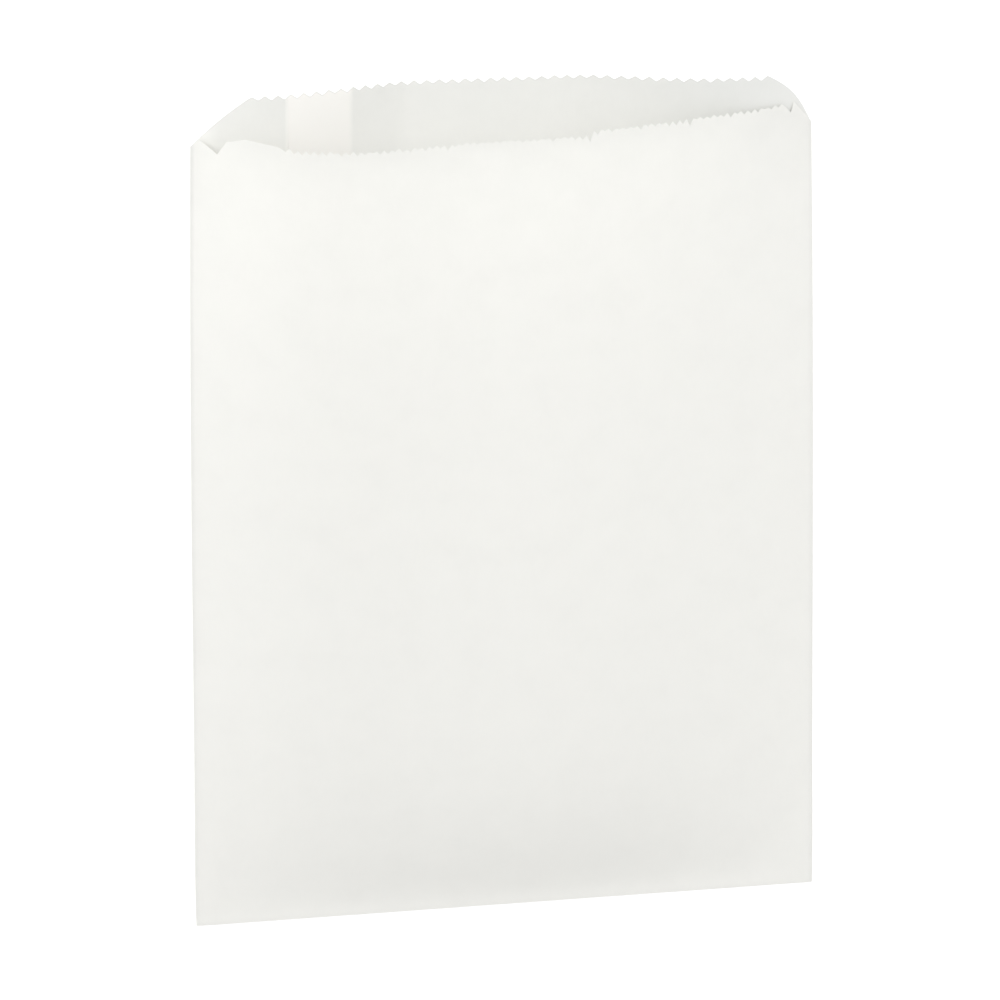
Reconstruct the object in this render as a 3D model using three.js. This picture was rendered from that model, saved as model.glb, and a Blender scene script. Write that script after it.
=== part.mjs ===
// A flat greaseproof paper bag, lying on its back with its mouth a little open.
// Millimetres. X runs across the bag, +Y from the folded bottom to the mouth, +Z up out of the front panel.
// The origin is under the middle of the bag, on the surface that it lies on.
//
// The bag is one paper tube, folded flat along two side folds. Each panel is described by two sheet
// coordinates: across, from 0 at the left fold to 1 at the right fold, and along, in millimetres of
// paper from the bottom fold. The open mouth lifts both side folds and arches the front panel.
import * as THREE from "three";

// Flat size of the bag.
const PANEL_WIDTH = 200;
const FRONT_LENGTH = 255;
const LIP_LENGTH = 10.5;
const FLAP_LENGTH = 16;
const PRESSED_STRIP = 9;

// Paper, drawn thicker than the real 0.07 mm so that each wall is a sound solid.
const PLY = 0.35;
const POCKET_GAP = 0.4;

// Glued overlap that runs the length of the back panel, measured from the left fold.
const SEAM_START = 30;
const SEAM_END = 50;
const STEP_WIDTH = 0.5;
const SEAM_PLY = 0.2;

// The open mouth: how high each side fold stands, and the sine arches of the panels between the folds.
const LEFT_FOLD_LIFT = 18.4;
const RIGHT_FOLD_LIFT = 11.3;
const FRONT_ARCHES = [23.4, 5.9, 4.3, 2.5];
const BACK_SAGS = [15, 2, -8.2];
// Share of the front arch that is reached just above the pressed strip, and the length it takes.
const EARLY_RISE = 0.64;
const RISE_LENGTH = 22;
// Small wrinkles draw the side folds in by this much more than the smooth arches alone.
const WRINKLE_DRAW = 1.1;

// Toothed edges of the mouth. Each runs from a first to a last tooth tip, measured from the left fold.
const LIP_TEETH = 40;
const LIP_TOOTH_DEPTH = 1.4;
const LIP_SPAN = [19, 185.1];
const FRONT_TEETH = 68;
const FRONT_TOOTH_DEPTH = 1.1;
const FRONT_SPAN = [26, 189.8];
// The front teeth vary in depth in two slow waves: the share of the depth, and the turn from tooth to tooth.
const DEPTH_WAVES = [[0.4, 2.3], [0.3, 0.7]];
// Places, from the left fold, where the knife nicked the front edge more deeply.
const FRONT_NICKS = [83, 129, 162];
const NICK_DEPTH = 2.5;
// The front edge climbs a little towards its right end.
const RIGHT_CLIMB = 1.5;
const RIGHT_CLIMB_LENGTH = 15;

// Height of the cut at each side fold, above the front edge.
const LEFT_FOLD_TIP = -3.8;
const RIGHT_FOLD_TIP = -4.5;
// How far the corner cuts of the back panel swell out of a straight line.
const LEFT_CORNER_SWELL = 0.7;
const RIGHT_CORNER_SWELL = 2.2;
const CORNER_STEPS = 6;
// Torn corners of the front panel, as distances from the side fold and heights above the front edge: a tip,
// the bottom of a notch and its shoulder, and on the left a low hump before the first tooth.
const LEFT_FRONT_CORNER = [[2.6, -1.6], [7.6, -5], [10.1, -0.9], [15.5, 0.8]];
const RIGHT_FRONT_CORNER = [[5.9, 1.8], [7, -1.4], [8.8, 0.4]];

// Density of the facets.
const COLUMNS = 40;
const BODY_ROWS = 13;
const ROW_CROWDING = 1.5;
const LAST_ROW_BELOW_EDGE = 6;
const SLOPE_STEPS = 32;

const FRONT = "front";
const BACK = "back";
const PAPER_COLOUR = 0xf4f3ee;
const PAPER_ROUGHNESS = 0.75;

/** Length of paper that has come free of the pressed strip, which lets go of it softly. */
function freeLength(along) {
  return along - PRESSED_STRIP * (1 - Math.exp(-along / PRESSED_STRIP));
}

/** How far the bag has opened at a place along it: 0 at the bottom fold, 1 at the front edge. */
function openness(along) {
  return freeLength(along) / freeLength(FRONT_LENGTH);
}

/** Share of the front arch at a place along the bag: a quick rise above the strip, then a steady one. */
function archGrowth(along) {
  const quickRise = 1 - Math.exp(-freeLength(along) / RISE_LENGTH);
  return EARLY_RISE * quickRise + (1 - EARLY_RISE) * openness(along);
}

/** Height of the straight line between the two side folds. */
function foldLine(across, along) {
  return (LEFT_FOLD_LIFT * (1 - across) + RIGHT_FOLD_LIFT * across) * openness(along);
}

/** Height of the front panel's paper above the closed bag. */
function frontRise(across, along) {
  const growth = archGrowth(along);
  return FRONT_ARCHES.reduce((height, arch, index) => {
    const fade = index === 0 ? 1 : Math.sqrt(openness(along));
    return height + arch * growth * fade * Math.sin((index + 1) * Math.PI * across);
  }, foldLine(across, along));
}

/** Height of the back panel's paper above the surface: it sags between the folds until it rests. */
function backRise(across, along) {
  const sagged = BACK_SAGS.reduce(
    (height, sag, index) => height - sag * openness(along) * Math.sin((index + 1) * Math.PI * across),
    foldLine(across, along),
  );
  return Math.max(0, sagged);
}

const riseOf = { [FRONT]: frontRise, [BACK]: backRise };

/** Distance between the side folds once the arched panels have drawn them in. */
function drawnInWidth(along) {
  let excess = 0;
  for (const rise of [frontRise, backRise]) {
    for (let step = 0; step < SLOPE_STEPS; step += 1) {
      const climb = rise((step + 1) / SLOPE_STEPS, along) - rise(step / SLOPE_STEPS, along);
      excess += (climb * climb * SLOPE_STEPS) / (2 * PANEL_WIDTH);
    }
  }
  return PANEL_WIDTH - (excess / 2) * WRINKLE_DRAW;
}

/** Reach in Y of a length of paper that climbs as its panel does. */
function reach(panel, across, along) {
  const rise = riseOf[panel];
  const piece = along / SLOPE_STEPS;
  let sum = 0;
  for (let step = 0; step < SLOPE_STEPS; step += 1) {
    const climb = rise(across, (step + 1) * piece) - rise(across, step * piece);
    sum += Math.sqrt(Math.max(0, piece * piece - climb * climb));
  }
  return sum;
}

/** Lift of the back panel above the surface by the flap that is glued under its lower end. */
function flapLift(along) {
  return PLY * (1 - openness(along));
}

/** Extra ply of the glued overlap on the inner face of the back panel. */
function seamPly(across) {
  const place = across * PANEL_WIDTH;
  const inner = Math.min(place - SEAM_START, SEAM_END - place) / STEP_WIDTH;
  return SEAM_PLY * Math.min(1, Math.max(0, inner));
}

/** Height of one face of the paper: the outer face of the bag, or the face inside the pocket. */
function paperHeight(panel, across, along, inside) {
  const base = riseOf[panel](across, along) + flapLift(along);
  if (panel === FRONT) {
    return base + POCKET_GAP + (inside ? PLY : 2 * PLY);
  }
  if (inside) {
    return base + PLY + seamPly(across);
  }
  return along <= FLAP_LENGTH ? 0 : base;
}

/** A point of one face of the paper. */
function paperPoint(panel, across, along, inside) {
  const width = drawnInWidth(along);
  const inset = inside ? 1 - (2 * PLY) / width : 1;
  const bottomInset = inside ? PLY * Math.max(0, 1 - along / PRESSED_STRIP) : 0;
  return new THREE.Vector3(
    (across - 0.5) * width * inset,
    reach(panel, across, along) + bottomInset,
    paperHeight(panel, across, along, inside),
  );
}

/** Sheet positions across a panel: even columns and a pair of close ones at each edge of the seam. */
function columnPlaces() {
  const even = Array.from({ length: COLUMNS + 1 }, (_, index) => index / COLUMNS);
  const seamEdges = [SEAM_START + STEP_WIDTH, SEAM_END - STEP_WIDTH].map((place) => place / PANEL_WIDTH);
  return [...even, ...seamEdges].sort((a, b) => a - b);
}

/** Sheet positions along the bag: the pressed strip, the flap's step, then rows that widen to the mouth. */
function rowPlaces() {
  const top = FRONT_LENGTH - LAST_ROW_BELOW_EDGE;
  const start = FLAP_LENGTH + STEP_WIDTH;
  const body = Array.from({ length: BODY_ROWS + 1 }, (_, index) => {
    return start + (top - start) * (index / BODY_ROWS) ** ROW_CROWDING;
  });
  const middleOfSlope = (PRESSED_STRIP + FLAP_LENGTH) / 2;
  return [0, PRESSED_STRIP / 2, PRESSED_STRIP, middleOfSlope, FLAP_LENGTH, ...body];
}

/** Turns a distance from the left fold into a place across the panel. */
function toAcross(distance) {
  return distance / PANEL_WIDTH;
}

/** Saw teeth from the first to the last tip of a span, as [across, along] pairs. */
function teeth(span, count, levelAt, depthOf) {
  const [from, to] = span;
  const pitch = (to - from) / count;
  const places = [[toAcross(from), levelAt(from)]];
  for (let gap = 1; gap <= count; gap += 1) {
    const tip = from + gap * pitch;
    const valley = tip - pitch / 2;
    places.push([toAcross(valley), levelAt(valley) - depthOf(gap)]);
    places.push([toAcross(tip), levelAt(tip)]);
  }
  return places;
}

/** The cut from a side fold to the first tooth of the lip, as distances from the fold and heights. */
function cornerCut(foldTip, width, swell) {
  const climb = LIP_LENGTH - foldTip;
  const chord = Math.hypot(width, climb);
  return Array.from({ length: CORNER_STEPS - 1 }, (_, index) => {
    const share = (index + 1) / CORNER_STEPS;
    const out = (swell * Math.sin(Math.PI * share)) / chord;
    return [width * share - climb * out, foldTip + climb * share + width * out];
  });
}

/** A whole cut edge: the left corner, the teeth and the right corner, as [across, along] pairs. */
function cutEdge(leftCorner, toothPlaces, rightCorner) {
  const left = [[0, LEFT_FOLD_TIP], ...leftCorner].map(([distance, height]) => {
    return [toAcross(distance), FRONT_LENGTH + height];
  });
  const right = [[0, RIGHT_FOLD_TIP], ...rightCorner].map(([distance, height]) => {
    return [1 - toAcross(distance), FRONT_LENGTH + height];
  });
  return [...left, ...toothPlaces, ...right.reverse()];
}

/** The front panel's cut edge: a notch beside each side fold and fine uneven teeth between them. */
function frontEdge() {
  const [from, to] = FRONT_SPAN;
  const pitch = (to - from) / FRONT_TEETH;
  const nickGaps = FRONT_NICKS.map((nick) => Math.ceil((nick - from) / pitch));
  const depthOf = (gap) => {
    const wander = DEPTH_WAVES.reduce((sum, [share, turn]) => sum + share * Math.sin(turn * gap), 1);
    return nickGaps.includes(gap) ? NICK_DEPTH : FRONT_TOOTH_DEPTH * wander;
  };
  const levelAt = (place) => FRONT_LENGTH + RIGHT_CLIMB * Math.max(0, 1 - (to - place) / RIGHT_CLIMB_LENGTH);
  return cutEdge(LEFT_FRONT_CORNER, teeth(FRONT_SPAN, FRONT_TEETH, levelAt, depthOf), RIGHT_FRONT_CORNER);
}

/** The back panel's cut edge: a nearly straight cut at the left corner, a round one at the right. */
function backEdge() {
  const [from, to] = LIP_SPAN;
  const lipTop = FRONT_LENGTH + LIP_LENGTH;
  const toothPlaces = teeth(LIP_SPAN, LIP_TEETH, () => lipTop, () => LIP_TOOTH_DEPTH);
  const left = cornerCut(LEFT_FOLD_TIP, from, LEFT_CORNER_SWELL);
  const right = cornerCut(RIGHT_FOLD_TIP, PANEL_WIDTH - to, RIGHT_CORNER_SWELL);
  return cutEdge(left, toothPlaces, right);
}

/** Collects the vertices and triangles of the closed shell. */
class ShellBuilder {
  constructor() {
    this.positions = [];
    this.indices = [];
  }

  /** Adds a row of points of one face of the paper and returns their numbers with their places. */
  row(panel, places, inside) {
    return places.map(([across, along]) => {
      const point = paperPoint(panel, across, along, inside);
      this.positions.push(point.x, point.y, point.z);
      return { id: this.positions.length / 3 - 1, across };
    });
  }

  /** Adds one triangle, turned over when asked. */
  face(a, b, c, turned) {
    this.indices.push(a.id, turned ? c.id : b.id, turned ? b.id : c.id);
  }

  /** Fills the strip between two rows that run the same way and may differ in their number of points. */
  strip(lower, upper, turned) {
    let low = 0;
    let high = 0;
    while (low < lower.length - 1 || high < upper.length - 1) {
      const lowNext = low < lower.length - 1 ? lower[low + 1].across + lower[low].across : Infinity;
      const highNext = high < upper.length - 1 ? upper[high + 1].across + upper[high].across : Infinity;
      if (lowNext <= highNext) {
        this.face(lower[low], lower[low + 1], upper[high], turned);
        low += 1;
      } else {
        this.face(lower[low], upper[high + 1], upper[high], turned);
        high += 1;
      }
    }
  }

  /** Builds one whole face of the bag, outer or inner, and returns its two cut edges. */
  leaf(inside) {
    const columns = columnPlaces();
    const rowsOf = (panel, edge) => {
      const rows = rowPlaces().map((along) => columns.map((across) => [across, along]));
      return [...rows, edge].map((places) => this.row(panel, places, inside));
    };
    const front = rowsOf(FRONT, frontEdge());
    const back = rowsOf(BACK, backEdge());
    for (let index = 0; index < front.length - 1; index += 1) {
      this.strip(front[index], front[index + 1], inside);
      this.strip(back[index], back[index + 1], !inside);
      for (const [side, turned] of [[0, inside], [-1, !inside]]) {
        const lower = [back[index].at(side), front[index].at(side)];
        const upper = [back[index + 1].at(side), front[index + 1].at(side)];
        this.face(lower[1], upper[1], lower[0], turned);
        this.face(upper[1], upper[0], lower[0], turned);
      }
    }
    this.strip(back[0], front[0], inside);
    return { front: front.at(-1), back: back.at(-1) };
  }

  /** Joins the outer and inner faces along one cut edge. */
  edgeWall(outer, inner, turned) {
    for (let index = 0; index < outer.length - 1; index += 1) {
      this.face(outer[index], outer[index + 1], inner[index], turned);
      this.face(outer[index + 1], inner[index + 1], inner[index], turned);
    }
  }

  /** The finished geometry with flat facets. */
  geometry() {
    const geometry = new THREE.BufferGeometry();
    geometry.setAttribute("position", new THREE.Float32BufferAttribute(this.positions, 3));
    geometry.setIndex(this.indices);
    geometry.computeVertexNormals();
    return geometry;
  }
}

/** The whole bag as one closed shell that is open at the mouth. */
function bagGeometry() {
  const shell = new ShellBuilder();
  const outer = shell.leaf(false);
  const inner = shell.leaf(true);
  shell.edgeWall(outer.front, inner.front, false);
  shell.edgeWall(outer.back, inner.back, true);
  const tips = (edges, side) => [edges.back.at(side), edges.front.at(side)];
  shell.edgeWall(tips(outer, 0), tips(inner, 0), false);
  shell.edgeWall(tips(outer, -1), tips(inner, -1), true);
  const geometry = shell.geometry();
  geometry.computeBoundingBox();
  const middle = geometry.boundingBox.getCenter(new THREE.Vector3());
  geometry.translate(-middle.x, -middle.y, -geometry.boundingBox.min.z);
  return geometry;
}

const paper = new THREE.MeshStandardMaterial({ color: PAPER_COLOUR, roughness: PAPER_ROUGHNESS });
const bag = new THREE.Mesh(bagGeometry(), paper);
bag.name = "paper_bag";

const part = new THREE.Group();
part.name = "greaseproof_bag";
part.add(bag);

export default part;
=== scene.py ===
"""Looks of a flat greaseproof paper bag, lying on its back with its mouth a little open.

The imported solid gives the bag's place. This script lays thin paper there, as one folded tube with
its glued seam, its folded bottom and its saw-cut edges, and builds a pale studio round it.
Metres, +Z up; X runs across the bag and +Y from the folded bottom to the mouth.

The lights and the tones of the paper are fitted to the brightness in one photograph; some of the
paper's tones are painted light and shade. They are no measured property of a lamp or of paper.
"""

import logging
import math
from collections.abc import Callable, Sequence
from dataclasses import dataclass, field
from enum import Enum

import bpy
import numpy as np
from mathutils import Matrix, Vector


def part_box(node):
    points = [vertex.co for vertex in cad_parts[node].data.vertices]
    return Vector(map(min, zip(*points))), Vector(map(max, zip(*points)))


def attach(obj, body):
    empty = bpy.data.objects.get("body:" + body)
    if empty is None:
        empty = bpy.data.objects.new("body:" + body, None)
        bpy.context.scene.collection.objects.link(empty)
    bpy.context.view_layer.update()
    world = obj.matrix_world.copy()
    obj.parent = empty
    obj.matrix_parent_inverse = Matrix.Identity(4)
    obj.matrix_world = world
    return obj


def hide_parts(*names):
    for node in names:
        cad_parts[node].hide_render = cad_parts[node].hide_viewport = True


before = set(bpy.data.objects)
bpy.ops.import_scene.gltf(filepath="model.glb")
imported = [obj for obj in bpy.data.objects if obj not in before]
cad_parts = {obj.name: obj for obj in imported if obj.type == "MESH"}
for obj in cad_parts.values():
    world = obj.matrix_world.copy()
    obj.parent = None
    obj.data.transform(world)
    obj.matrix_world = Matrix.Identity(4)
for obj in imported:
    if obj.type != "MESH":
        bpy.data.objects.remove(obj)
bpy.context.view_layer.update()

MM = 0.001
NODE = "paper_bag"
BODY = "root"
WHITE = (1.0, 1.0, 1.0, 1.0)
# The range in which most of a noise texture's values lie.
NOISE_MIDDLE = (0.3, 0.7)
# Places that differ by less, in metres or in shares of the width, count as the same.
TOLERANCE = 1e-6
# Least gap between columns and digits of their places, in shares of the width.
LEAST_GAP = 1e-4
SHARE_DIGITS = 7

Colour = tuple[float, float, float]
Place = tuple[float, float]
Spot = tuple[float, float, float]

log = logging.getLogger("paper_bag")


def ease(share: float | np.ndarray) -> float | np.ndarray:
    """Lets a share from 0 to 1 start and end softly."""
    return share * share * (3 - 2 * share)


class Panel(Enum):
    """The two large faces of the flat bag."""

    FRONT = "front"
    BACK = "back"


class Side(Enum):
    """The two side folds, by the direction in X in which they point."""

    LEFT = -1
    RIGHT = 1


@dataclass(frozen=True)
class BagShape:
    """Flat size of the bag and the shape that its opened mouth gives the two panels.

    A place on a panel has two sheet coordinates: across, from 0 at the left side fold to 1 at the
    right one, and along, in metres of paper from the bottom fold. The arches and sags are heights
    at the mouth, of one half wave between the side folds, of two, and so on.
    """

    panel_width: float = 200 * MM
    front_length: float = 255 * MM
    lip_length: float = 10.5 * MM
    flap_length: float = 16 * MM
    pressed_strip: float = 9 * MM
    left_fold_lift: float = 18.4 * MM
    right_fold_lift: float = 11.3 * MM
    front_arches: tuple[float, ...] = (23.4 * MM, 5.9 * MM, 4.3 * MM, 2.5 * MM)
    back_sags: tuple[float, ...] = (15 * MM, 2 * MM, -8.2 * MM)
    back_softness: float = 1.6 * MM
    early_rise: float = 0.64
    rise_length: float = 22 * MM
    wrinkle_draw: float = 1.1
    flap_lift: float = 0.25 * MM
    fold_depth: float = 0.55 * MM
    slope_steps: int = 64

    def free_length(self, along: np.ndarray) -> np.ndarray:
        """Length of paper that has come free of the pressed strip, which lets go of it softly."""
        place = np.clip(along, 0, None)
        return place - self.pressed_strip * (1 - np.exp(-place / self.pressed_strip))

    def openness(self, along: np.ndarray) -> np.ndarray:
        """How far the bag has opened at a place along it, from 0 at the fold to 1 at the mouth."""
        return self.free_length(along) / self.free_length(self.front_length)

    def arch_growth(self, along: np.ndarray) -> np.ndarray:
        """Share of the front arch that is reached at a place along the bag."""
        quick = 1 - np.exp(-self.free_length(along) / self.rise_length)
        return self.early_rise * quick + (1 - self.early_rise) * self.openness(along)

    def fold_line(self, across: np.ndarray, along: np.ndarray) -> np.ndarray:
        """Height of the straight line between the two side folds."""
        lift = self.left_fold_lift * (1 - across) + self.right_fold_lift * across
        return lift * self.openness(along)

    def rise(self, panel: Panel, across: np.ndarray, along: np.ndarray) -> np.ndarray:
        """Height of a panel's paper above the closed bag.

        Args:
            panel: The front or the back panel.
            across: Places between the side folds, 0 to 1.
            along: Places along the bag.

        Returns:
            Heights, as an array of the shape that across and along have together.
        """
        height = self.fold_line(across, along)
        openness = self.openness(along)
        if panel is Panel.BACK:
            for index, sag in enumerate(self.back_sags):
                height = height - sag * openness * np.sin((index + 1) * math.pi * across)
            return (height + np.hypot(height, self.back_softness * openness)) / 2
        growth = self.arch_growth(along)
        for index, arch in enumerate(self.front_arches):
            fade = 1 if index == 0 else np.sqrt(openness)
            height = height + arch * growth * fade * np.sin((index + 1) * math.pi * across)
        return height

    def drawn_in_width(self, along: np.ndarray) -> np.ndarray:
        """Distance between the side folds once the arched panels have drawn them in.

        Args:
            along: Places along the bag.

        Returns:
            One distance for each place.
        """
        steps = np.linspace(0, 1, self.slope_steps + 1)
        places = np.unique(along)
        excess = np.zeros_like(places)
        for panel in Panel:
            climbs = np.diff(self.rise(panel, steps[:, None], places[None, :]), axis=0)
            excess = excess + (climbs**2).sum(axis=0) * self.slope_steps / (2 * self.panel_width)
        return self.panel_width - self.wrinkle_draw * np.interp(along, places, excess) / 2

    def reach(self, panel: Panel, across: np.ndarray, along: np.ndarray) -> np.ndarray:
        """Reach in Y of lengths of paper that climb as their panel does.

        Args:
            panel: The front or the back panel.
            across: Places between the side folds, one for each length.
            along: Lengths of paper from the bottom fold.

        Returns:
            Distances in Y from the bottom fold.
        """
        steps = np.linspace(0, 1, self.slope_steps + 1)[:, None]
        climbs = np.diff(self.rise(panel, across[None, :], steps * along[None, :]), axis=0)
        piece = along / self.slope_steps
        return np.sqrt(np.clip(piece[None, :] ** 2 - climbs**2, 0, None)).sum(axis=0)

    def place(self, panel: Panel, across: np.ndarray, along: np.ndarray) -> np.ndarray:
        """Points of a panel's outer face, with the bottom fold at Y 0.

        Args:
            panel: The front or the back panel.
            across: Places between the side folds, 0 to 1, as a flat array.
            along: Places along the bag, one for each place across.

        Returns:
            An array of points, one row each.
        """
        x = (across - 0.5) * self.drawn_in_width(along)
        y = self.reach(panel, across, along)
        z = self.rise(panel, across, along) + self.flap_lift * (1 - self.openness(along))
        if panel is Panel.FRONT:
            z = z + self.fold_depth
        return np.stack([x, y, z], axis=-1)


@dataclass(frozen=True)
class CutEdges:
    """Where the knife ran across the paper, and the teeth that it left.

    Places are pairs of a distance and a height above the straight front edge. A corner counts the
    distance from its own side fold, and the step from the left one. Nicks are pairs of a distance
    from the left fold and a depth, and reach over a part of a tooth to each side.
    """

    lip_span: tuple[float, float] = (19 * MM, 185.1 * MM)
    lip_teeth: int = 40
    lip_tooth_depth: float = 1.35 * MM
    lip_unevenness: float = 0.14
    front_span: tuple[float, float] = (26 * MM, 189.8 * MM)
    front_teeth: int = 68
    front_tooth_depth: float = 1.15 * MM
    front_unevenness: float = 0.4
    flap_tooth_depth: float = 1.4 * MM
    front_nicks: tuple[Place, ...] = (
        (77.8 * MM, 2 * MM),
        (123.8 * MM, 2.85 * MM),
        (157.7 * MM, 2.4 * MM),
    )
    nick_reach: float = 0.25
    front_step: tuple[Place, ...] = (
        (122.4 * MM, 0),
        (125.2 * MM, 1.3 * MM),
        (174.8 * MM, 0.8 * MM),
    )
    right_climb: float = 1.5 * MM
    left_fold_tip: float = -3.8 * MM
    right_fold_tip: float = -4.5 * MM
    left_corner_swell: float = 0.7 * MM
    right_corner_swell: float = 2.2 * MM
    corner_steps: int = 8
    left_front_corner: tuple[Place, ...] = (
        (2.6 * MM, -1.6 * MM),
        (7.6 * MM, -5 * MM),
        (10.1 * MM, -0.9 * MM),
        (15.5 * MM, 0.8 * MM),
    )
    right_front_corner: tuple[Place, ...] = (
        (5.9 * MM, 1.8 * MM),
        (7 * MM, -1.4 * MM),
        (8.8 * MM, 0.4 * MM),
    )
    widest_column: float = 1.3 * MM

    def corner_cut(
        self, fold_tip: float, width: float, swell: float, lip: float
    ) -> tuple[Place, ...]:
        """The cut from a side fold to the first tooth of the lip.

        Args:
            fold_tip: Height of the cut at the fold.
            width: Distance from the fold to the first tooth.
            swell: How far the cut swells out.
            lip: Height of the lip.

        Returns:
            The places between the two ends.
        """
        climb = lip - fold_tip
        chord = math.hypot(width, climb)
        places = []
        for step in range(1, self.corner_steps):
            share = step / self.corner_steps
            out = swell * math.sin(math.pi * share) / chord
            places.append((width * share - climb * out, fold_tip + climb * share + width * out))
        return tuple(places)

    def outline(self, panel: Panel, shape: BagShape) -> tuple[np.ndarray, np.ndarray]:
        """A panel's cut edge at the tips of its teeth.

        Args:
            panel: The front or the back panel.
            shape: The bag that the edge belongs to.

        Returns:
            Distances from the left fold, and their places along the bag.
        """
        width, start, end = shape.panel_width, *self.span(panel)
        if panel is Panel.BACK:
            lip = shape.lip_length
            left = self.corner_cut(self.left_fold_tip, start, self.left_corner_swell, lip)
            right = self.corner_cut(self.right_fold_tip, width - end, self.right_corner_swell, lip)
            middle = [(start, lip), (end, lip)]
        else:
            left, right = self.left_front_corner, self.right_front_corner
            middle = [(start, 0), *self.front_step, (end, self.right_climb)]
        mirrored = [(width - distance, height) for distance, height in reversed(right)]
        places = [(0, self.left_fold_tip), *left, *middle, *mirrored, (width, self.right_fold_tip)]
        distances, heights = np.array(places).T
        return distances, shape.front_length + heights

    def edge(self, panel: Panel, shape: BagShape, across: float) -> float:
        """Place along the bag of a panel's cut edge at a place across."""
        return np.interp(across * shape.panel_width, *self.outline(panel, shape))

    def span(self, panel: Panel) -> tuple[float, float]:
        """Distances of the first and the last tooth tip from the left fold."""
        return self.lip_span if panel is Panel.BACK else self.front_span

    def teeth(self, panel: Panel) -> int:
        """Number of gaps between a panel's teeth."""
        return self.lip_teeth if panel is Panel.BACK else self.front_teeth

    def columns(self, panel: Panel, shape: BagShape) -> np.ndarray:
        """Places across a panel for its columns, at each tip and valley and closely in the corners.

        Args:
            panel: The front or the back panel.
            shape: The bag that the panel belongs to.

        Returns:
            Rising places from 0 to 1.
        """
        start, end = self.span(panel)
        stops, _ = self.outline(panel, shape)
        places = list(np.linspace(start, end, 2 * self.teeth(panel) + 1))
        for low, high in zip(stops, stops[1:]):
            if high <= start or low >= end:
                steps = math.ceil((high - low) / self.widest_column)
                places += list(np.linspace(low, high, steps + 1))
        return np.unique(np.round(np.array(places) / shape.panel_width, SHARE_DIGITS))

    def phase(self, panel: Panel, shape: BagShape, across: np.ndarray) -> np.ndarray:
        """Count of teeth along a toothed edge, with valleys at whole numbers.

        Args:
            panel: The front or the back panel.
            shape: The bag that the panel belongs to.
            across: Places between the side folds, 0 to 1.

        Returns:
            One count for each place, and -1 outside the teeth.
        """
        start, end = self.span(panel)
        distance = across * shape.panel_width
        phase = (distance - start) / (end - start) * self.teeth(panel) + 0.5
        inside = (distance > start - TOLERANCE) & (distance < end + TOLERANCE)
        return np.where(inside, phase, -1)

    def valleys(self, panel: Panel, shape: BagShape, across: np.ndarray) -> np.ndarray:
        """Depth of the valleys between teeth, and the share of it that is left to chance.

        Args:
            panel: The front or the back panel.
            shape: The bag that the panel belongs to.
            across: Places between the side folds, 0 to 1.

        Returns:
            A row of depths, 0 outside the teeth, and a row of shares, 0 at the nicks.
        """
        phase = self.phase(panel, shape, across)
        back = panel is Panel.BACK
        depth = np.where(phase >= 0, self.lip_tooth_depth if back else self.front_tooth_depth, 0)
        uneven = np.full(across.shape, self.lip_unevenness if back else self.front_unevenness)
        for valley, nick_depth in [] if back else self.nicks(shape):
            nicked = np.abs(phase - valley) < self.nick_reach
            depth, uneven = np.where(nicked, nick_depth, depth), np.where(nicked, 0, uneven)
        return np.stack([depth, uneven])

    def nicks(self, shape: BagShape) -> list[tuple[float, float]]:
        """The front edge's nicks, each put at the valley next to its place.

        Args:
            shape: The bag that the edge belongs to.

        Returns:
            Pairs of a count of teeth along the edge and a depth.
        """
        places = np.array([place for place, _ in self.front_nicks]) / shape.panel_width
        valleys = np.round(self.phase(Panel.FRONT, shape, places))
        return [(valley, nick_depth) for valley, (_, nick_depth) in zip(valleys, self.front_nicks)]


@dataclass(frozen=True)
class Column:
    """One column of the paper web, which runs from the bottom fold to a cut edge.

    Its web place is its distance over the flat paper, counted from the left fold through the back
    panel, and its fold turn is 0 at the back panel and 1 at the front one.
    """

    panel: Panel
    across: float
    web: float
    lift: float = 0.0
    fold_side: Side | None = None
    fold_turn: float = 0.0


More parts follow.
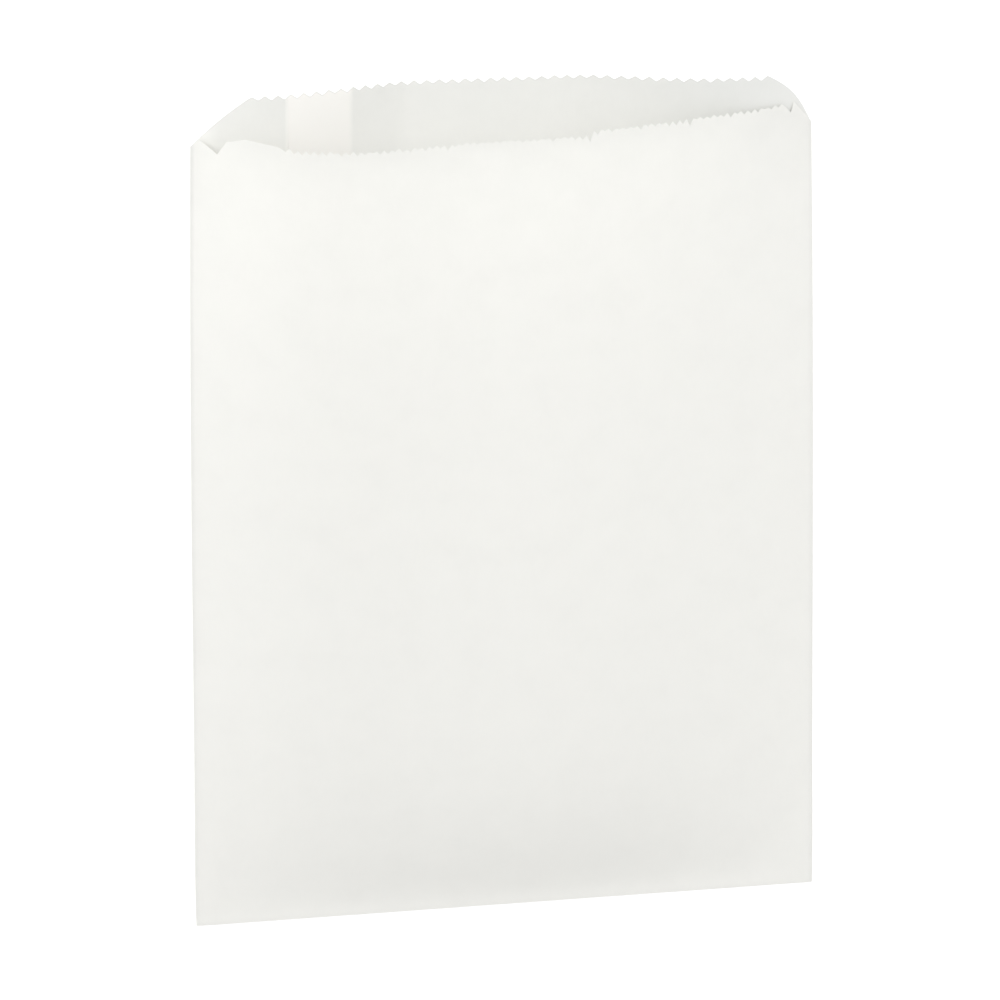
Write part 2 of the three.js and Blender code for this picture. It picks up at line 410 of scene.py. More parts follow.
class NodeWriter:
    """Adds nodes and links to a node tree in plain words."""

    def __init__(self, tree: bpy.types.NodeTree) -> None:
        """Keeps the tree and empties it."""
        self.tree = tree
        tree.nodes.clear()

    def add(
        self, kind: str, inputs: dict[str | int, object] | None = None, **settings: object
    ) -> bpy.types.Node:
        """Adds a node.

        Args:
            kind: Blender's name of the kind of node.
            inputs: What its inputs read, by name or number.
            settings: Properties of the node.

        Returns:
            The node.
        """
        node = self.tree.nodes.new(kind)
        for name, value in settings.items():
            setattr(node, name, value)
        for key, value in (inputs or {}).items():
            self.feed(node.inputs[key], value)
        return node

    def feed(self, socket: bpy.types.NodeSocket, value: object) -> None:
        """Gives a socket what it reads.

        Args:
            socket: The input socket.
            value: An output to link to it, or a value of its own.
        """
        if isinstance(value, bpy.types.NodeSocket):
            self.tree.links.new(value, socket)
        else:
            socket.default_value = value

    def math(self, operation: str, *values: object) -> bpy.types.NodeSocket:
        """Adds a Math node and returns its result."""
        return self.add("ShaderNodeMath", dict(enumerate(values)), operation=operation).outputs[0]

    def noise(
        self, vector: object, size: float, detail: float, roughness: float
    ) -> bpy.types.NodeSocket:
        """Adds noise with features of a real size, and returns its value, 0 to 1 around a half."""
        inputs = {"Vector": vector, "Scale": 1 / size, "Detail": detail, "Roughness": roughness}
        return self.add("ShaderNodeTexNoise", inputs).outputs["Fac"]

    def blend(self, factor: object, first: object, second: object) -> bpy.types.NodeSocket:
        """Mixes two colours.

        Args:
            factor: Share of the second colour.
            first: The first colour, or an output that gives it.
            second: The second one.

        Returns:
            The mixed colour.
        """
        ends = [(*value, 1.0) if isinstance(value, tuple) else value for value in (first, second)]
        inputs = {0: factor, 6: ends[0], 7: ends[1]}
        return self.add("ShaderNodeMix", inputs, data_type="RGBA", clamp_factor=True).outputs[2]

    def spread(self, value: object, low: float, high: float) -> bpy.types.NodeSocket:
        """Stretches the middle of a noise value to the range low to high, and clamps it there."""
        names = ("Value", "From Min", "From Max", "To Min", "To Max")
        inputs = dict(zip(names, (value, *NOISE_MIDDLE, low, high)))
        return self.add("ShaderNodeMapRange", inputs, clamp=True).outputs["Result"]


@dataclass(frozen=True)
class PaperFinish:
    """Finish of greaseproof paper: warm white, faintly cloudy, with fine fibres and a soft sheen.

    The bare colours are those of a single ply with no paper behind it, made darker as painted shade
    for the light that such a ply lets through.
    """

    name: str = "greaseproof_paper"
    colour: Colour = (0.963, 0.96, 0.93)
    cloud_colour: Colour = (0.938, 0.935, 0.905)
    # Painted shade: the single ply's colours are darker to stand in for the light that passes
    # through it.
    bare_ply_shaded_colour: Colour = (0.755, 0.76, 0.737)
    bare_ply_shaded_cloud_colour: Colour = (0.73, 0.735, 0.712)
    glued_colour: Colour = (0.945, 0.93, 0.9)
    cut_colour: Colour = (0.75, 0.755, 0.74)
    cloud_size: float = 11 * MM
    cloud_detail: float = 4.0
    cloud_roughness: float = 0.6
    cloud_share: float = 0.7
    fibre_size: float = 1.1 * MM
    fibre_detail: float = 6.0
    fibre_roughness: float = 0.65
    fibre_share: float = 0.3
    fibre_stretch: float = 0.35
    roughness: tuple[float, float] = (0.46, 0.58)
    specular: float = 0.3
    bump_height: float = 0.03 * MM
    bump_strength: float = 0.6
    translucence: float = 0.25
    bare_translucence: float = 0.08

    def build(self) -> bpy.types.Material:
        """Builds the procedural material, which follows the sheet coordinates.

        Returns:
            The material.
        """
        material = bpy.data.materials.new(self.name)
        material.use_nodes = True
        pen = NodeWriter(material.node_tree)
        sheet = pen.add("ShaderNodeAttribute", attribute_name="sheet").outputs["Vector"]
        ply_tone_and_painted_light, upper, glued, cut = (
            pen.add("ShaderNodeAttribute", attribute_name=name).outputs["Fac"]
            for name in ("ply_tone_and_painted_light", "upper", "glued", "cut")
        )
        clouds = pen.noise(sheet, self.cloud_size, self.cloud_detail, self.cloud_roughness)
        stretch = {"Vector": sheet, "Scale": (1.0, self.fibre_stretch, 1.0)}
        along_fibres = pen.add("ShaderNodeMapping", stretch).outputs[0]
        fibres = pen.noise(along_fibres, self.fibre_size, self.fibre_detail, self.fibre_roughness)
        mottle = pen.math("MULTIPLY", pen.spread(clouds, 0.0, 1.0), self.cloud_share)
        grain = pen.math("MULTIPLY", pen.spread(fibres, 0.0, 1.0), self.fibre_share)
        cloudy = pen.math("ADD", mottle, grain)
        backed = pen.blend(cloudy, self.colour, self.cloud_colour)
        bare = pen.blend(cloudy, self.bare_ply_shaded_colour, self.bare_ply_shaded_cloud_colour)
        # The ply tone mixes the painted shade of the bare ply with the backed colour, and carries
        # painted light and shade of its own.
        plies_and_painted_light = pen.blend(ply_tone_and_painted_light, bare, backed)
        paste = pen.math("MULTIPLY", glued, pen.math("SUBTRACT", 1.0, grain))
        pasted = pen.blend(paste, plies_and_painted_light, self.glued_colour)
        edged = pen.blend(cut, pasted, self.cut_colour)
        bump = pen.add("ShaderNodeBump", {
            "Distance": self.bump_height,
            "Strength": self.bump_strength,
            "Height": pen.math("ADD", fibres, clouds),
        })
        shader = pen.add("ShaderNodeBsdfPrincipled", {
            "Base Color": edged,
            "Roughness": pen.spread(fibres, *self.roughness),
            "Specular IOR Level": self.specular,
            "Normal": bump.outputs[0],
        })
        through = pen.add("ShaderNodeBsdfTranslucent", {"Color": edged})
        gain = self.translucence - self.bare_translucence
        share = pen.math("MULTIPLY_ADD", upper, gain, self.bare_translucence)
        layers = {0: share, 1: shader.outputs[0], 2: through.outputs[0]}
        mixed = pen.add("ShaderNodeMixShader", layers)
        pen.add("ShaderNodeOutputMaterial", {"Surface": mixed.outputs[0]})
        return material


@dataclass(frozen=True)
class FloorFinish:
    """Finish of the pale floor, which glows faintly, so that it stays white round the bag."""

    name: str = "pale_floor"
    colour: Colour = (0.93, 0.93, 0.93)
    roughness: float = 0.9
    specular: float = 0.1
    glow: float = 0.27

    def build(self) -> bpy.types.Material:
        """Builds the floor's material.

        Returns:
            The material.
        """
        material = bpy.data.materials.new(self.name)
        material.use_nodes = True
        pen = NodeWriter(material.node_tree)
        shader = pen.add("ShaderNodeBsdfPrincipled", {
            "Base Color": (*self.colour, 1.0),
            "Roughness": self.roughness,
            "Specular IOR Level": self.specular,
            "Emission Color": WHITE,
            "Emission Strength": self.glow,
        })
        pen.add("ShaderNodeOutputMaterial", {"Surface": shader.outputs[0]})
        return material


@dataclass(frozen=True)
class SawCut:
    """Node tree that saws teeth into the paper's cut edges and lets the paper cockle a little."""

    name: str = "saw_cut_paper"
    cockle_height: float = 0.35 * MM
    cockle_size: float = 45 * MM
    cockle_detail: float = 2.0
    cockle_roughness: float = 0.45
    seed: int = 11

    def build(self) -> bpy.types.NodeTree:
        """Builds the tree with named inputs for its sizes.

        Returns:
            The geometry node tree, which ends in Realize Instances and Set Material.
        """
        tree = bpy.data.node_groups.new(self.name, "GeometryNodeTree")
        face = tree.interface
        face.new_socket(name="Geometry", in_out="OUTPUT", socket_type="NodeSocketGeometry")
        for name, kind in (
            ("Geometry", "Geometry"),
            ("Cockle height", "Float"),
            ("Cockle size", "Float"),
            ("Seed", "Int"),
            ("Paper", "Material"),
        ):
            face.new_socket(name=name, in_out="INPUT", socket_type=f"NodeSocket{kind}")
        pen = NodeWriter(tree)
        given = pen.add("NodeGroupInput").outputs
        cockled = self._cockle(pen, given, self._saw(pen, given))
        smooth = pen.add("GeometryNodeSetShadeSmooth", {"Geometry": cockled})
        real = pen.add("GeometryNodeRealizeInstances", {"Geometry": smooth.outputs["Geometry"]})
        paint = {"Geometry": real.outputs["Geometry"], "Material": given["Paper"]}
        painted = pen.add("GeometryNodeSetMaterial", paint)
        pen.add("NodeGroupOutput", {0: painted.outputs["Geometry"]})
        return tree

    @staticmethod
    def _named(pen: NodeWriter, name: str, kind: str) -> bpy.types.NodeSocket:
        """Reads one of the paper's own attributes.

        Args:
            pen: Writer of the tree.
            name: Name of the attribute.
            kind: Kind of its data.

        Returns:
            The attribute's value.
        """
        node = pen.add("GeometryNodeInputNamedAttribute", {"Name": name}, data_type=kind)
        outputs = [socket for socket in node.outputs if socket.enabled]
        return next(socket for socket in outputs if socket.name == "Attribute")

    @staticmethod
    def _chance(
        pen: NodeWriter, low: object, high: object, number: object, seed: object
    ) -> bpy.types.NodeSocket:
        """Draws one value for each whole number.

        Args:
            pen: Writer of the tree.
            low: Least value.
            high: Greatest value.
            number: The whole number.
            seed: Seed of the draw.

        Returns:
            The value drawn.
        """
        node = pen.add("FunctionNodeRandomValue", data_type="FLOAT")
        sockets = [socket for socket in node.inputs if socket.enabled]
        for socket, value in zip(sockets, (low, high, number, seed)):
            pen.feed(socket, value)
        return next(socket for socket in node.outputs if socket.enabled)

    def _saw(self, pen: NodeWriter, given: object) -> bpy.types.NodeSocket:
        """Draws the cut edge back between the tips of its teeth.

        Args:
            pen: Writer of the tree.
            given: Outputs of the group's input node.

        Returns:
            The sawn geometry.
        """
        phase = self._named(pen, "tooth_phase", "FLOAT")
        depth = self._named(pen, "cut_depth", "FLOAT")
        inward = self._named(pen, "inward", "FLOAT_VECTOR")
        unevenness = self._named(pen, "unevenness", "FLOAT")
        twice = pen.math("MULTIPLY", pen.math("FRACT", phase), 2.0)
        saw = pen.math("ABSOLUTE", pen.math("SUBTRACT", twice, 1.0))
        valley = pen.math("FLOOR", pen.math("ADD", phase, 0.5))
        low = pen.math("SUBTRACT", 1.0, unevenness)
        high = pen.math("ADD", 1.0, unevenness)
        uneven = self._chance(pen, low, high, valley, given["Seed"])
        tip = pen.math("SUBTRACT", 1.0, saw)
        blunt_seed = pen.math("ADD", given["Seed"], 1.0)
        blunt = self._chance(pen, 0.0, unevenness, pen.math("FLOOR", phase), blunt_seed)
        drawn = pen.math("ADD", pen.math("MULTIPLY", saw, uneven), pen.math("MULTIPLY", tip, blunt))
        return self._move(pen, given["Geometry"], inward, pen.math("MULTIPLY", drawn, depth))

    def _cockle(self, pen: NodeWriter, given: object, geometry: object) -> bpy.types.NodeSocket:
        """Lets the free paper swell and dip a little off its smooth shape.

        Args:
            pen: Writer of the tree.
            given: Outputs of the group's input node.
            geometry: The sawn paper.

        Returns:
            The cockled geometry.
        """
        sheet = self._named(pen, "sheet", "FLOAT_VECTOR")
        free = self._named(pen, "free", "FLOAT")
        noise = pen.noise(sheet, 1.0, self.cockle_detail, self.cockle_roughness)
        inverse = pen.math("DIVIDE", 1.0, given["Cockle size"])
        pen.feed(noise.node.inputs["Scale"], inverse)
        height = pen.math("MULTIPLY", pen.math("SUBTRACT", noise, 0.5), given["Cockle height"])
        normal = pen.add("GeometryNodeInputNormal").outputs[0]
        return self._move(pen, geometry, normal, pen.math("MULTIPLY", height, free))

    @staticmethod
    def _move(pen: NodeWriter, geometry: object, way: object, far: object) -> bpy.types.NodeSocket:
        """Moves each point along its own vector.

        Args:
            pen: Writer of the tree.
            geometry: The points.
            way: The vectors.
            far: Distances, in lengths of the vector.

        Returns:
            The moved geometry.
        """
        scaled = pen.add("ShaderNodeVectorMath", {0: way, "Scale": far}, operation="SCALE")
        inputs = {"Geometry": geometry, "Offset": scaled.outputs[0]}
        move = pen.add("GeometryNodeSetPosition", inputs)
        return move.outputs["Geometry"]

    def put_on(self, piece: bpy.types.Object, paper: bpy.types.Material) -> None:
        """Adds the tree to a piece as a modifier and sets its inputs by their identifiers.

        Args:
            piece: The paper, as faces of no thickness.
            paper: Its finish.
        """
        tree = self.build()
        modifier = piece.modifiers.new("saw_cut", "NODES")
        modifier.node_group = tree
        values = {
            "Cockle height": self.cockle_height,
            "Cockle size": self.cockle_size,
            "Seed": self.seed,
            "Paper": paper,
        }
        for item in tree.interface.items_tree:
            if item.in_out == "INPUT" and item.name in values:
                modifier[item.identifier] = values[item.name]


@dataclass(frozen=True)
class Web:
    """The folded paper as two grids of points, the flap's and the tube's, row by row.

    A row of the tube has a point for every column, and a row of the flap for the front ones only.
    The mesh counts the flap's points first.
    """

    columns: list[Column]
    front: list[int]
    along: np.ndarray
    tube: np.ndarray
    flap_along: np.ndarray
    flap: np.ndarray

    def read(self, name: str) -> np.ndarray:
        """One value of every column, by the name of its field."""
        return np.array([getattr(column, name) for column in self.columns])

    def faces(self) -> list[list[int]]:
        """Quads of the flap and of the tube, with their outer sides out.

        Returns:
            Lists of vertex numbers.
        """
        flap_count, tube_count = self.flap[..., 0].size, self.tube[..., 0].size
        flap = np.arange(flap_count).reshape(self.flap.shape[:2])
        tube = np.arange(flap_count, flap_count + tube_count).reshape(self.along.shape)
        quads = []
        for block in (np.vstack([flap, tube[0, self.front]]), tube):
            corners = (block[:-1, :-1], block[1:, :-1], block[1:, 1:], block[:-1, 1:])
            quads += np.stack(corners, axis=-1).reshape(-1, 4).tolist()
        return quads

    def mesh(self, name: str) -> bpy.types.Mesh:
        """Makes the mesh.

        Args:
            name: Its name.

        Returns:
            The mesh, with no thickness yet.
        """
        mesh = bpy.data.meshes.new(name)
        vertices = np.concatenate([self.flap.reshape(-1, 3), self.tube.reshape(-1, 3)])
        mesh.from_pydata(vertices.tolist(), [], self.faces())
        return mesh

    def store(self, mesh: bpy.types.Mesh, name: str, flap: object, tube: object) -> None:
        """Writes one attribute of the mesh's points.

        Args:
            mesh: The web's mesh.
            name: Name of the attribute.
            flap: A number for the whole flap, a row, a grid or a grid of vectors.
            tube: The same for the tube.
        """
        parts = []
        for value, grid in ((flap, self.flap.shape), (tube, self.tube.shape)):
            vectors = np.ndim(value) == len(grid)
            parts.append(np.broadcast_to(value, grid if vectors else grid[:-1]).ravel())
        kind, key = ("FLOAT_VECTOR", "vector") if vectors else ("FLOAT", "value")
        attribute = mesh.attributes.new(name, kind, "POINT")
        attribute.data.foreach_set(key, np.concatenate(parts).astype(np.float32))


@dataclass
class PaperTube:
    """The bag's paper: one web folded into a tube, glued at its seam and folded up at the bottom.

    The paper's ply tone is 0 for the bare colour and 1 for that of paper with paper behind it. The
    values between are painted light and shade fitted to the photograph: painted light beside the
    folds and deep in the mouth, falling off between the two painted shade ends towards the right,
    and painted shade on the creases and at the front's mouth.
    """

    shape: BagShape = field(default_factory=BagShape)
    edges: CutEdges = field(default_factory=CutEdges)
    saw: SawCut = field(default_factory=SawCut)
    seam_start: float = 30.8 * MM
    seam_end: float = 51.7 * MM
    seam_settling: float = 5 * MM
    ply_step: float = 0.16 * MM
    # Painted light on the bare ply beside the left and the right side fold, over these widths.
    fold_painted_light: tuple[float, float] = (9 * MM, 2 * MM)
    # Painted light on the bare ply inside the mouth: more deep in the mouth, fading to painted
    # shade towards the right end.
    bare_painted_light: float = 0.38
    deep_painted_light: float = 0.3
    deep_painted_light_length: float = 17 * MM
    painted_shade_ends: tuple[float, float] = (0.64, 0.92)
    # Painted shade along the side folds.
    crease_painted_shade: float = 0.24
    crease_shade_width: float = 0.8 * MM
    # Painted shade on the front panel near its mouth edge.
    mouth_painted_shade: float = 0.28
    mouth_shade_fade: float = 10 * MM
    cockle_fade: float = 12 * MM
    paper_thickness: float = 0.1 * MM
    fold_radius: float = 0.28 * MM
    fold_steps: int = 4
    strip_rows: int = 6
    slope_rows: int = 30
    slope_end: float = 45 * MM
    body_rows: int = 104
    body_end: float = 249 * MM
    rim_width: float = 0.45 * MM
    rim_start: float = 3.4 * MM
    rim_shares: tuple[float, float] = (0.35, 0.7)
    least_step: float = 0.2 * MM
    turn_rows: int = 6
    flap_rows: int = 5
    sharp_angle: float = 50.0

    def columns(self) -> list[Column]:
        """The web's columns in order: inner ply of the seam, back, fold, front, fold, outer ply.

        Returns:
            The columns.
        """
        width = self.shape.panel_width
        back = self.edges.columns(Panel.BACK, self.shape)
        front = self.edges.columns(Panel.FRONT, self.shape)
        start, end = self.seam_start / width, self.seam_end / width
        inner = [start, *back[back > start + LEAST_GAP]]
        outer = [*back[back < end - LEAST_GAP], end]
        settling = self.seam_settling / width
        columns = []
        for across in inner:
            lift = self.ply_step * ease(min(1.0, max(0.0, (end + settling - across) / settling)))
            columns.append(Column(Panel.BACK, across, across * width, lift))
        columns += self._fold(Side.RIGHT, width)
        columns += [Column(Panel.FRONT, across, (2 - across) * width) for across in front[::-1]]
        columns += self._fold(Side.LEFT, 2 * width)
        columns += [Column(Panel.BACK, across, (2 + across) * width) for across in outer]
        return columns

    def _fold(self, side: Side, web: float) -> list[Column]:
        """The few columns that turn round a side fold, from one panel to the other.

        Args:
            side: The side fold.
            web: Distance of the fold along the web.

        Returns:
            The columns.
        """
        across = 1.0 if side is Side.RIGHT else 0.0
        turns = np.linspace(0, 1, self.fold_steps + 2)[1:-1]
        if side is Side.LEFT:
            turns = turns[::-1]
        return [Column(Panel.BACK, across, web, fold_side=side, fold_turn=turn) for turn in turns]

    def rows(self) -> np.ndarray:
        """Places along the bag of the rows that run straight across it.

        Returns:
            Rising places.
        """
        strip = np.linspace(0, self.shape.pressed_strip, self.strip_rows + 1)
        slope = np.linspace(self.shape.pressed_strip, self.slope_end, self.slope_rows + 1)
        body = np.linspace(self.slope_end, self.body_end, self.body_rows + 1)
        return np.concatenate([strip, slope[1:], body[1:]])

    def grid(self, columns: Sequence[Column]) -> np.ndarray:
        """Places along the bag of every row at every column, up to the cut edges.

        Args:
            columns: The web's columns.

        Returns:
            One row of places for each row of the mesh.
        """
        straight = np.repeat(self.rows()[:, None], len(columns), axis=1)
        ends = np.array([
            self.edges.edge(column.panel, self.shape, column.across) for column in columns
        ])
        room = (ends - self.rim_start - self.body_end).clip(self.least_step)
        bands = [self.body_end + room * share for share in self.rim_shares]
        for distance in (self.rim_start, self.rim_width):
            bands.append(np.maximum(ends - distance, bands[-1] + self.least_step))
        bands.append(ends)
        return np.concatenate([straight, np.array(bands)])

    def points(self, columns: Sequence[Column], along: np.ndarray) -> np.ndarray:
        """Points of the web's outer face, row by row.

        Args:
            columns: The web's columns.
            along: Places along the bag of every row at every column.

        Returns:
            An array of rows by columns by three.
        """
        result = np.zeros((*along.shape, 3))
        across = np.array([column.across for column in columns])
        for panel in Panel:
            chosen = [i for i, column in enumerate(columns) if column.panel is panel]
            flat = along[:, chosen].ravel()
            spread = np.tile(across[chosen], along.shape[0])
            result[:, chosen] = self.shape.place(panel, spread, flat).reshape(along.shape[0], -1, 3)
        for index, column in enumerate(columns):
            result[:, index, 2] += column.lift
            if column.fold_side is None:
                continue
            angle = math.pi * column.fold_turn
            half = self.shape.fold_depth / 2
            result[:, index, 2] += half - half * math.cos(angle)
            result[:, index, 0] += column.fold_side.value * self.fold_radius * math.sin(angle)
        return result

    def flap(self, front_row: np.ndarray) -> tuple[np.ndarray, np.ndarray]:
        """The rows that turn round the bottom fold and run back under the bag.

        Args:
            front_row: Points of the front panel at the bottom fold.

        Returns:
            The points from the flap's cut edge up to the fold, and their places along the bag.
        """
        radius = front_row[:, 2].mean() / 2
        turns = np.linspace(0, math.pi, self.turn_rows + 1)[1:]
        rows, places = [], []
        for turn in turns:
            row = front_row.copy()
            row[:, 1] -= radius * math.sin(turn)
            row[:, 2] = radius + radius * math.cos(turn)
            rows.append(row)
            places.append(-radius * turn)
        ends = np.linspace(0, self.shape.flap_length - self.rim_start, self.flap_rows + 1)[1:]
        tail = [self.shape.flap_length - self.rim_width, self.shape.flap_length]
        for end in [*ends, *tail]:
            row = front_row.copy()
            row[:, 1] += end
            row[:, 2] = 0
            rows.append(row)
            places.append(-radius * math.pi - end)
        return np.array(rows[::-1]), np.array(places[::-1])

    def lay(self) -> Web:
        """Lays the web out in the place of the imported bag.

        Returns:
            The web.
        """
        columns = self.columns()
        along = self.grid(columns)
        points = self.points(columns, along)
        front = [i for i, column in enumerate(columns) if column.panel is Panel.FRONT]
        flap, flap_along = self.flap(points[0, front])
        low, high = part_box(NODE)
        place = np.array([(low[0] + high[0]) / 2, low[1], low[2]])
        return Web(columns, front, along, points + place, flap_along, flap + place)

    def build(self, paper: bpy.types.Material) -> bpy.types.Object:
        """Builds the whole web, saws its edges and gives it its thickness.

        Args:
            paper: The paper's finish.

        Returns:
            The finished bag as one plain mesh.
        """
        web = self.lay()
        mesh = web.mesh("bag_paper")
        self._mark_teeth(web, mesh)
        self._mark_paper(web, mesh)
        piece = bpy.data.objects.new("bag_paper", mesh)
        bpy.context.scene.collection.objects.link(piece)
        self.saw.put_on(piece, paper)
        thick = piece.modifiers.new("thickness", "SOLIDIFY")
        thick.thickness = self.paper_thickness
        thick.offset = -1.0
        return self._settle(piece)

    def _by_panel(self, web: Web, rule: Callable[..., np.ndarray]) -> np.ndarray:
        """Reads a rule of the cut edges at every column.

        Args:
            web: The web.
            rule: A method of the cut edges.

        Returns:
            Its values, for each column those of the column's own panel.
        """
        front, back = (rule(panel, self.shape, web.read("across")) for panel in Panel)
        return np.where(self._is_front(web), front, back)

    @staticmethod
    def _is_front(web: Web) -> np.ndarray:
        """Whether each column belongs to the front panel."""
        return web.read("panel") == Panel.FRONT

    def _mark_teeth(self, web: Web, mesh: bpy.types.Mesh) -> None:
        """Stores what the saw reads. Only the two rows nearest a cut edge are sawn.

        Args:
            web: The web.
            mesh: Its mesh.
        """
        phase = self._by_panel(web, self.edges.phase)
        valley_depth, uneven = self._by_panel(web, self.edges.valleys)
        depth, flap_depth = np.zeros(web.along.shape), np.zeros(web.flap.shape[:2])
        depth[-2:] = valley_depth
        flap_depth[:2] = np.where(phase[web.front] >= 0, self.edges.flap_tooth_depth, 0)
        inward, flap_inward = np.zeros_like(web.tube), np.zeros_like(web.flap)
        step = web.tube[-3] - web.tube[-1]
        inward[-2:] = step / np.linalg.norm(step, axis=-1, keepdims=True)
        flap_inward[:2] = (0, -1, 0)
        web.store(mesh, "tooth_phase", phase[web.front], phase)
        web.store(mesh, "cut_depth", flap_depth, depth)
        web.store(mesh, "inward", flap_inward, inward)
        web.store(mesh, "unevenness", uneven[web.front], uneven)

    def _mark_paper(self, web: Web, mesh: bpy.types.Mesh) -> None:
        """Stores what the finish and the cockles read: ply tone with painted light and shade, glue,
        cut edges and sheet places.

        Args:
            web: The web.
            mesh: Its mesh.
        """
        across, front = web.read("across"), self._is_front(web)
        width = self.shape.panel_width
        start, end = self.seam_start / width, self.seam_end / width
        seam = (across > start - TOLERANCE) & (across < end + TOLERANCE)
        fold_distance = np.minimum(across, 1 - across) * width
        # Ply tone: 1 on the front and the glued seam; on the bare back ply, painted light and
        # shade.
        ply_tone_and_painted_light = np.where(front | seam, 1.0, self._painted_light_on_bare_ply(across, web.along))
        # Painted shade on the front panel, fading out away from its mouth edge.
        clear = np.exp(np.minimum(web.along - self.shape.front_length, 0) / self.mouth_shade_fade)
        # Painted shade along the creases of the side folds.
        crease = np.exp(-fold_distance / self.crease_shade_width)
        ply_tone_and_painted_light = ply_tone_and_painted_light - np.where(front, self.mouth_painted_shade, 0) * clear - self.crease_painted_shade * crease
        cut, flap_cut = np.zeros(web.along.shape), np.zeros(web.flap.shape[:2])
        cut[-1] = ~front
        flap_cut[0] = 1
        off_strip = (web.along - self.shape.pressed_strip) / self.cockle_fade
        free = np.clip(fold_distance / self.cockle_fade, 0, 1) * np.clip(off_strip, 0, 1)
        places = web.read("web")
        web.store(mesh, "ply_tone_and_painted_light", 1, ply_tone_and_painted_light)
        web.store(mesh, "glued", 0, seam & ~front)
        web.store(mesh, "upper", 0, front)
        web.store(mesh, "cut", flap_cut, cut)
        web.store(mesh, "free", 0, free)
        flap_sheet = self._sheet(places[web.front], web.flap_along[:, None])
        web.store(mesh, "sheet", flap_sheet, self._sheet(places, web.along))

    @staticmethod
    def _sheet(across: np.ndarray, along: np.ndarray) -> np.ndarray:
        """Vectors of places on the flat web, across it and along it."""
        first, second = np.broadcast_arrays(across, along)
        return np.stack([first, second, np.zeros(first.shape)], axis=-1)

    def _painted_light_on_bare_ply(self, across: np.ndarray, along: np.ndarray) -> np.ndarray:
        """Painted light and shade on the back panel's single ply, fitted to the photograph inside
        the mouth.

        Args:
            across: Place across the panel of every column.
            along: Places along the bag of every row at every column.

        Returns:
            Shares from 0 to 1, for every row at every column.
        """
        width = self.shape.panel_width
        lip = self.shape.front_length + self.shape.lip_length
        # Painted light: more deep in the mouth, less towards the right end (painted shade there),
        # full beside the side folds.
        deep = np.clip((lip - along) / self.deep_painted_light_length, 0, 1)
        low, high = self.painted_shade_ends
        dim = ease(np.clip((across - low) / (high - low), 0, 1))
        share = self.bare_painted_light * (1 - dim) + self.deep_painted_light * deep
        left, right = self.fold_painted_light
        fold = np.maximum(1 - across * width / left, 1 - (1 - across) * width / right)
        return share + (1 - share) * np.clip(fold, 0, 1)

    def _settle(self, piece: bpy.types.Object) -> bpy.types.Object:
        """Turns the piece with its modifiers into a plain mesh with sharp rims.

        Args:
            piece: The piece with its modifiers.

        Returns:
            The same piece, with none.
        """
        depsgraph = bpy.context.evaluated_depsgraph_get()
        mesh = bpy.data.meshes.new_from_object(
            piece.evaluated_get(depsgraph), preserve_all_data_layers=True, depsgraph=depsgraph
        )
        piece.modifiers.clear()
        piece.data = mesh
        mesh.set_sharp_from_angle(angle=math.radians(self.sharp_angle))
        return piece


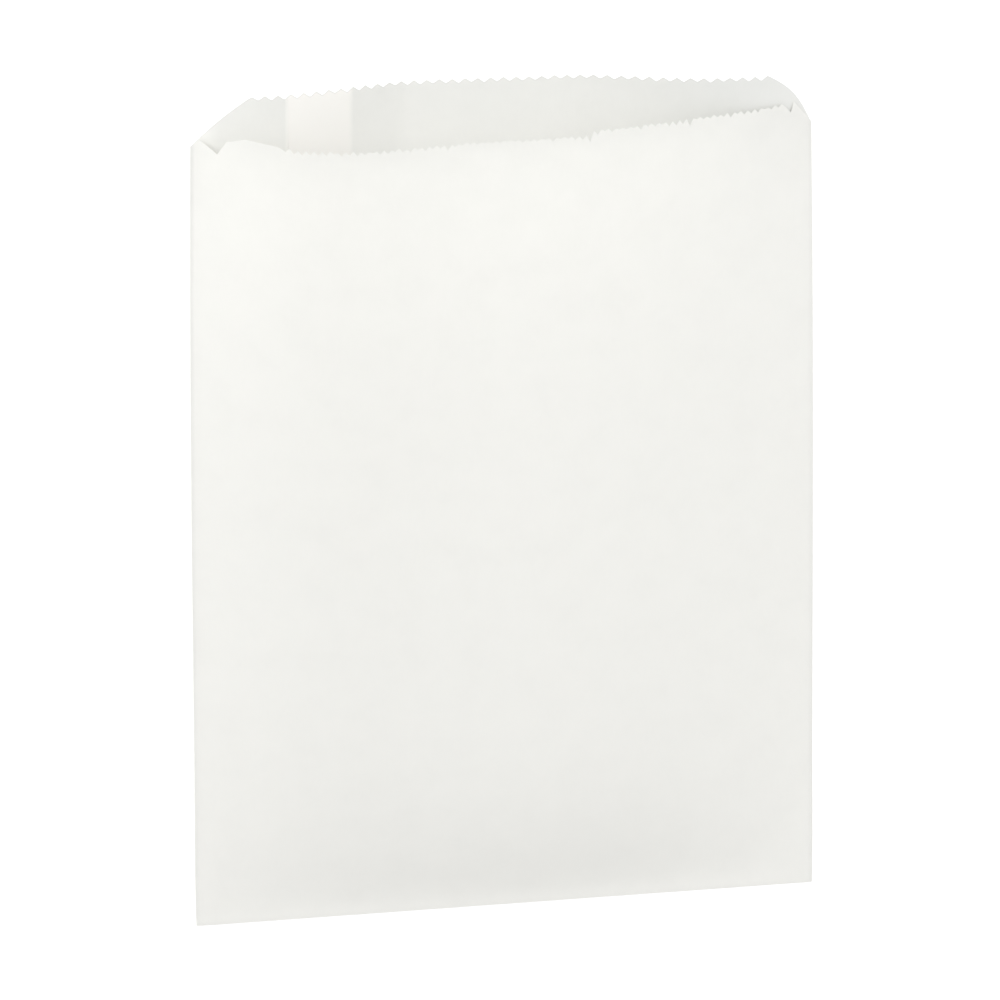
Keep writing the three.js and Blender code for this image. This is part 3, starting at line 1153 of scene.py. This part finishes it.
@dataclass(frozen=True)
class Studio:
    """Pale floor, soft lights and the camera at the photograph's viewing angle."""

    floor_size: float = 6.0
    floor_drop: float = 0.4 * MM
    world_strength: float = 0.824
    left_place: Spot = (-0.9, 0.9, 1.6)
    left_power: float = 15.9
    left_size: float = 1.37
    right_place: Spot = (0.7, 1.0, 0.4)
    right_power: float = 3.9
    right_size: float = 0.43
    camera_lift: float = math.radians(14.48)
    camera_swing: float = math.radians(9.53)
    camera_roll: float = math.radians(0.75)
    camera_distance: float = 1118 * MM
    pixels_per_metre: float = 3222.5
    image_size: int = 1000
    camera_reach: float = 20.0
    aim_pixel: tuple[float, float] = (507.2, 523.8)
    aim_along: float = 127.5 * MM
    aim_height: float = 8 * MM
    sensor: float = 36.0

    def build(self) -> None:
        """Builds floor, world, lights and camera."""
        scene = bpy.context.scene
        scene.view_settings.view_transform = "Standard"
        self._floor()
        self._world()
        self._light("left_softbox", self.left_place, self.left_power, self.left_size)
        self._light("right_softbox", self.right_place, self.right_power, self.right_size)
        scene.camera = self._camera()

    def _floor(self) -> None:
        """Lays the plain floor under the bag."""
        half = self.floor_size / 2
        mesh = bpy.data.meshes.new("floor")
        z = -self.floor_drop
        corners = [(-half, -half, z), (half, -half, z), (half, half, z), (-half, half, z)]
        mesh.from_pydata(corners, [], [(0, 1, 2, 3)])
        mesh.materials.append(FloorFinish().build())
        floor = bpy.data.objects.new("floor", mesh)
        bpy.context.scene.collection.objects.link(floor)

    def _world(self) -> None:
        """Lights the whole studio with an even white."""
        world = bpy.data.worlds.new("studio")
        world.use_nodes = True
        background = world.node_tree.nodes["Background"]
        background.inputs["Color"].default_value = WHITE
        background.inputs["Strength"].default_value = self.world_strength
        bpy.context.scene.world = world

    @staticmethod
    def _light(name: str, place: Spot, power: float, size: float) -> None:
        """Hangs one square softbox that faces the bag.

        Args:
            name: Name of the light.
            place: Where it hangs.
            power: Its power in watts.
            size: Length of its side.
        """
        data = bpy.data.lights.new(name, "AREA")
        data.size = size
        data.energy = power
        light = bpy.data.objects.new(name, data)
        light.location = place
        light.rotation_euler = (-Vector(place)).to_track_quat("-Z", "Y").to_euler()
        bpy.context.scene.collection.objects.link(light)

    def _camera(self) -> bpy.types.Object:
        """Sets up the camera so that the bag's middle falls on its pixel in the photograph.

        Returns:
            The camera object.
        """
        lift, swing, roll = self.camera_lift, self.camera_swing, self.camera_roll
        level = math.cos(lift)
        back = Vector((-math.sin(swing) * level, math.sin(lift), math.cos(swing) * level))
        right = Vector((math.cos(swing), 0, math.sin(swing)))
        up = back.cross(right)
        turned_right = right * math.cos(roll) - up * math.sin(roll)
        turned_up = right * math.sin(roll) + up * math.cos(roll)
        low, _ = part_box(NODE)
        aim = Vector((0, low[1] + self.aim_along, self.aim_height))
        place = aim + back * self.camera_distance
        half = self.image_size / 2
        off_right = (self.aim_pixel[0] - half) / self.pixels_per_metre
        off_down = (self.aim_pixel[1] - half) / self.pixels_per_metre
        centre = aim - turned_right * off_right + turned_up * off_down
        back = (place - centre).normalized()
        turned_right = turned_up.cross(back).normalized()
        turned_up = back.cross(turned_right)
        data = bpy.data.cameras.new("photo_camera")
        data.sensor_width = self.sensor
        data.lens = self.pixels_per_metre * self.camera_distance * self.sensor / self.image_size
        data.clip_end = self.camera_reach
        camera = bpy.data.objects.new("photo_camera", data)
        turn = Matrix((turned_right, turned_up, back)).transposed()
        camera.matrix_world = Matrix.Translation(place) @ turn.to_4x4()
        bpy.context.scene.collection.objects.link(camera)
        return camera


def main() -> None:
    """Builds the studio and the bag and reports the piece."""
    logging.basicConfig(level=logging.INFO, format="%(name)s: %(message)s")
    Studio().build()
    paper = PaperFinish().build()
    bag = PaperTube().build(paper)
    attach(bag, BODY)
    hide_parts(NODE)
    triangles = sum(len(polygon.vertices) - 2 for polygon in bag.data.polygons)
    log.info("%s: %d triangles", bag.name, triangles)


if __name__ == "__main__":
    main()
